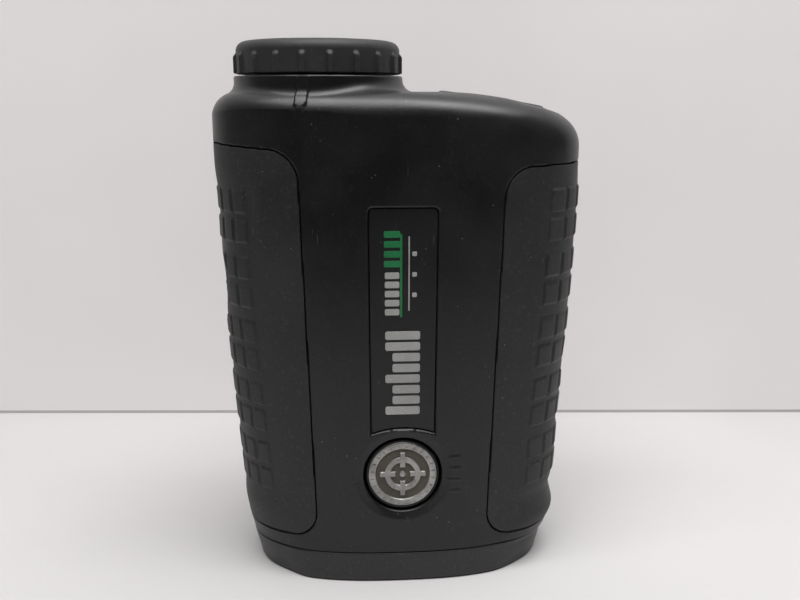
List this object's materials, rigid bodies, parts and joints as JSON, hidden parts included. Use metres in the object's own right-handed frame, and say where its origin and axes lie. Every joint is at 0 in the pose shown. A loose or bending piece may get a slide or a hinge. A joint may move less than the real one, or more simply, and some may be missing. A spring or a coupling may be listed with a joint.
{
  "type": "laser rangefinder",
  "caption": "Pocket monocular laser rangefinder with tapered body, rubber side grips, ribbed diopter eyepiece, round mode button, screw-in battery cap and tripod socket.",
  "frame": {"origin": "bottom centre of the bounding box, on the plane of the objective rim that the part stands on", "axes": "+Z along the viewing axis from the objectives to the eyepiece; -Y is the side with the mode button; -X is the side with the power button, which faces up in use"},
  "size_m": [0.074, 0.0402, 0.109],
  "materials": {
    "housing": "fine matte grain",
    "grip": "matte",
    "soft": "matte",
    "badge": "satin",
    "steel": "satin",
    "brass": "satin",
    "black_metal": "black anodised",
    "glass": "polished, coated",
    "coated_glass": "red coated",
    "circuit_board": "solder mask",
    "flex": "polyimide",
    "cell_wrap": "printed sleeve",
    "label": "satin film"
  },
  "bodies": {
    "housing": {"left_housing": "housing", "right_housing": "housing", "top_grip": "grip", "bottom_grip": "grip", "front_bezel": "housing", "bezel_gasket": "soft", "housing_screws": "steel", "label_plate": "housing", "rear_label": "label", "tripod_insert": "brass", "strap_pin": "steel", "eyepiece_barrel": "black_metal", "barrel_o_ring": "soft", "mode_button_spring": "steel", "mode_switch": "black_metal", "switch_board": "circuit_board", "power_button_spring": "steel", "power_switch": "black_metal", "power_switch_board": "circuit_board", "battery_tube": "black_metal", "battery": "cell_wrap", "battery_spring_contact": "steel", "battery_leads": "flex", "objective_cell": "black_metal", "objective_lens": "glass", "objective_retaining_ring": "black_metal", "objective_tube": "black_metal", "prism_housing": "black_metal", "roof_prism": "glass", "half_prism": "glass", "display_holder": "black_metal", "display_module": "glass", "display_flex": "flex", "receiver_cell": "black_metal", "receiver_lens": "coated_glass", "receiver_retaining_ring": "black_metal", "receiver_cone": "black_metal", "photodiode": "steel", "receiver_board": "circuit_board", "laser_diode": "brass", "main_board": "circuit_board"},
    "diopter_ring": {"diopter_ring": "black_metal", "eyecup": "soft"},
    "ocular": {"ocular_cell": "black_metal", "eye_lens": "glass", "field_lens": "glass", "lens_spacer": "black_metal", "ocular_retaining_ring": "black_metal", "diopter_drive_pin": "steel"},
    "mode_button": {"mode_button": "soft", "mode_button_disc": "badge", "mode_button_o_ring": "soft"},
    "power_button": {"power_button": "soft", "power_button_o_ring": "soft"},
    "cap_seal": {"battery_cap_o_ring": "soft"},
    "battery_cap": {"battery_cap": "housing", "battery_cap_pin": "steel", "battery_cap_contact": "brass"},
    "battery_cap_tab": {"battery_cap_tab": "housing"}
  },
  "joints": [
    {"name": "diopter_turn", "type": "hinge", "parent": "housing", "child": "diopter_ring", "pos_m": [-0.0158, 0, 0.105], "axis": [0, 0, 1], "range_deg": [-90, 90]},
    {"name": "ocular_focus", "type": "slide", "parent": "housing", "child": "ocular", "axis": [0, 0, 1], "range_m": [-0.0011, 0.0011]},
    {"name": "mode_press", "type": "slide", "parent": "housing", "child": "mode_button", "axis": [0, 1, 0], "range_m": [0, 0.0008], "stiffness_N_per_m": 900, "springref_m": -0.0006, "deforming": ["mode_button_spring"]},
    {"name": "power_press", "type": "slide", "parent": "housing", "child": "power_button", "axis": [1, 0, 0], "range_m": [0, 0.0008], "stiffness_N_per_m": 900, "springref_m": -0.0006, "deforming": ["power_button_spring"]},
    {"name": "cap_rise", "type": "slide", "parent": "housing", "child": "cap_seal", "axis": [0.1478, 0, 0.989], "range_m": [0, 0.00415]},
    {"name": "cap_turn", "type": "hinge", "parent": "cap_seal", "child": "battery_cap", "pos_m": [0.0192, 0, 0.09735], "axis": [0.1478, 0, 0.989], "range_deg": [0, 900]},
    {"name": "cap_tab_lift", "type": "hinge", "parent": "battery_cap", "child": "battery_cap_tab", "pos_m": [0.01916, 0, 0.09705], "axis": [0, -1, 0], "range_deg": [0, 88]}
  ],
  "couplings": [
    {"joint": "ocular_focus", "follows": "diopter_turn", "m_per_rad": 0.00057296},
    {"joint": "cap_rise", "follows": "cap_turn", "m_per_rad": 0.00023873}
  ]
}
